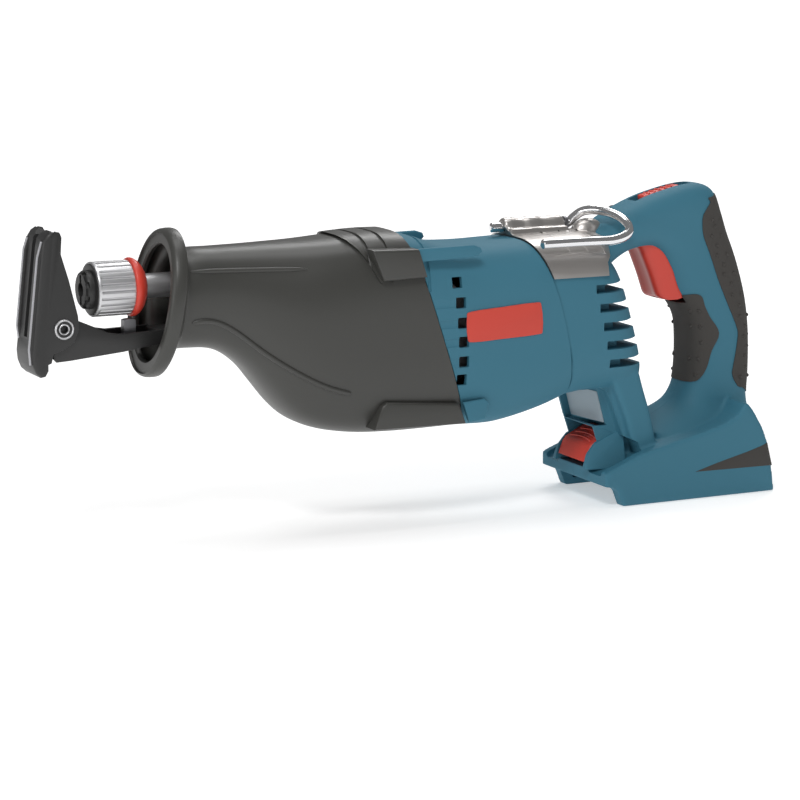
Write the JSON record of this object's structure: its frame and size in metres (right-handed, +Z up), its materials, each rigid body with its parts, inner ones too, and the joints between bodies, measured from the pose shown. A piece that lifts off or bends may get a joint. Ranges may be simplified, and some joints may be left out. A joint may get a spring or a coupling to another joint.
{
  "type": "reciprocating saw",
  "caption": "Cordless reciprocating saw: shoe, blade clamp and plunger at the nose, rubber boot, motor housing, D-handle with trigger, rafter hook and slide-on battery foot.",
  "frame": {"origin": "centre of the blade clamp collar's front face, on the plunger's axis", "axes": "+X to the rear of the tool, +Z up, -Y the tool's left side"},
  "size_m": [0.4678, 0.0815, 0.1895],
  "materials": {
    "black_steel": "satin black, worn bright at the tips",
    "bright_steel": "ground bright",
    "polished_rod": "polished",
    "dark_steel": "blued",
    "spring_steel": "drawn wire",
    "red_plastic": "satin",
    "blue_plastic": "satin moulded with a fine texture",
    "boot_rubber": "satin",
    "grip_rubber": "matt with raised dots",
    "cast_metal": "bead-blasted casting",
    "gear_casting": "as cast",
    "bronze": "sintered",
    "gear_steel": "hardened",
    "motor_steel": "zinc plated",
    "ferrite": "sintered",
    "copper": "enamelled wire and copper bars",
    "black_plastic": "matt",
    "carbon": "pressed carbon",
    "contact_brass": "bright",
    "board_green": "coated board",
    "plate_grey": "printed film, left blank",
    "badge_red": "blank badge",
    "seal_rubber": "matt"
  },
  "bodies": {
    "body": {"boot": "boot_rubber", "gearbox_housing": "gear_casting", "gearbox_cover": "gear_casting", "gearbox_screws": "bright_steel", "shaft_seal": "seal_rubber", "front_bush": "bronze", "rear_bush": "bronze", "layshaft_bearings": "bright_steel", "motor_can": "motor_steel", "magnets": "ferrite", "brush_holder": "black_plastic", "carbon_brushes": "carbon", "motor_housing": "blue_plastic", "rear_housing_left": "blue_plastic", "rear_housing_right": "blue_plastic", "housing_screws": "dark_steel", "top_cover": "cast_metal", "rear_grip": "grip_rubber", "front_grip": "grip_rubber", "foot_inlays": "grip_rubber", "switch_body": "black_plastic", "terminal_block": "black_plastic", "terminal_blades": "contact_brass", "control_board": "board_green", "data_plate": "plate_grey", "side_badge": "badge_red", "trigger_spring": "spring_steel", "release_spring": "spring_steel"},
    "shoe_carrier": {"shoe_bracket": "black_steel", "bracket_post": "dark_steel"},
    "shoe": {"shoe": "black_steel", "shoe_pivot_screw": "bright_steel"},
    "plunger": {"plunger": "bright_steel", "clamp_body": "dark_steel", "clamp_pin": "gear_steel", "clamp_nose": "black_steel", "clamp_spring": "spring_steel"},
    "clamp_sleeve": {"clamp_collar": "bright_steel", "clamp_ring": "red_plastic"},
    "wobble": {"wobble_ring": "gear_steel"},
    "layshaft": {"layshaft": "gear_steel", "drive_gear": "gear_steel", "wobble_hub": "gear_steel"},
    "armature": {"armature_shaft": "gear_steel", "armature_core": "motor_steel", "windings": "copper", "commutator": "copper", "armature_bearings": "bright_steel", "fan": "black_plastic", "pinion": "gear_steel"},
    "hook": {"rafter_hook": "polished_rod", "hook_clip": "dark_steel"},
    "trigger": {"trigger": "red_plastic"},
    "lock_slider": {"lock_slider": "red_plastic"},
    "release_button": {"release_button": "red_plastic"}
  },
  "joints": [
    {"name": "plunger_slide", "type": "slide", "parent": "body", "child": "plunger", "axis": [1, 0, 0], "range_m": [-0.0086, 0.02]},
    {"name": "collar_turn", "type": "hinge", "parent": "plunger", "child": "clamp_sleeve", "pos_m": [0.012, 0, 0], "axis": [1, 0, 0], "range_deg": [0, 60], "stiffness_Nm_per_rad": 0.05, "springref_deg": -11.46},
    {"name": "shoe_slide", "type": "slide", "parent": "body", "child": "shoe_carrier", "axis": [-1, 0, 0], "range_m": [0, 0.02]},
    {"name": "shoe_tilt", "type": "hinge", "parent": "shoe_carrier", "child": "shoe", "pos_m": [-0.021, 0, -0.019], "axis": [0, 1, 0], "range_deg": [-6, 14]},
    {"name": "armature_spin", "type": "hinge", "parent": "body", "child": "armature", "pos_m": [0.25, 0, -0.04], "axis": [1, 0, 0], "continuous": true},
    {"name": "layshaft_spin", "type": "hinge", "parent": "body", "child": "layshaft", "pos_m": [0.159, 0, -0.0634], "axis": [1, 0, 0], "continuous": true},
    {"name": "wobble_swing", "type": "hinge", "parent": "body", "child": "wobble", "pos_m": [0.159, 0, -0.0634], "axis": [0, 1, 0], "range_deg": [-8.07, 18.37]},
    {"name": "hook_swing", "type": "hinge", "parent": "body", "child": "hook", "pos_m": [0.283, 0.005, 0.0203], "axis": [-1, 0, 0], "range_deg": [0, 90]},
    {"name": "trigger_pull", "type": "hinge", "parent": "body", "child": "trigger", "pos_m": [0.368, 0, 0.02], "axis": [0, -1, 0], "range_deg": [0, 9], "stiffness_Nm_per_rad": 2, "springref_deg": -2.86},
    {"name": "lock_slide", "type": "slide", "parent": "body", "child": "lock_slider", "axis": [-0.9736, 0, -0.2284], "range_m": [0, 0.005]},
    {"name": "release_press", "type": "slide", "parent": "body", "child": "release_button", "axis": [0, 0, -1], "range_m": [0, 0.003], "stiffness_N_per_m": 800, "springref_m": -0.002}
  ],
  "couplings": [
    {"joint": "layshaft_spin", "follows": "armature_spin", "ratio": -0.3},
    {"joint": "wobble_swing", "follows": "plunger_slide", "rad_per_m": 15.773}
  ]
}
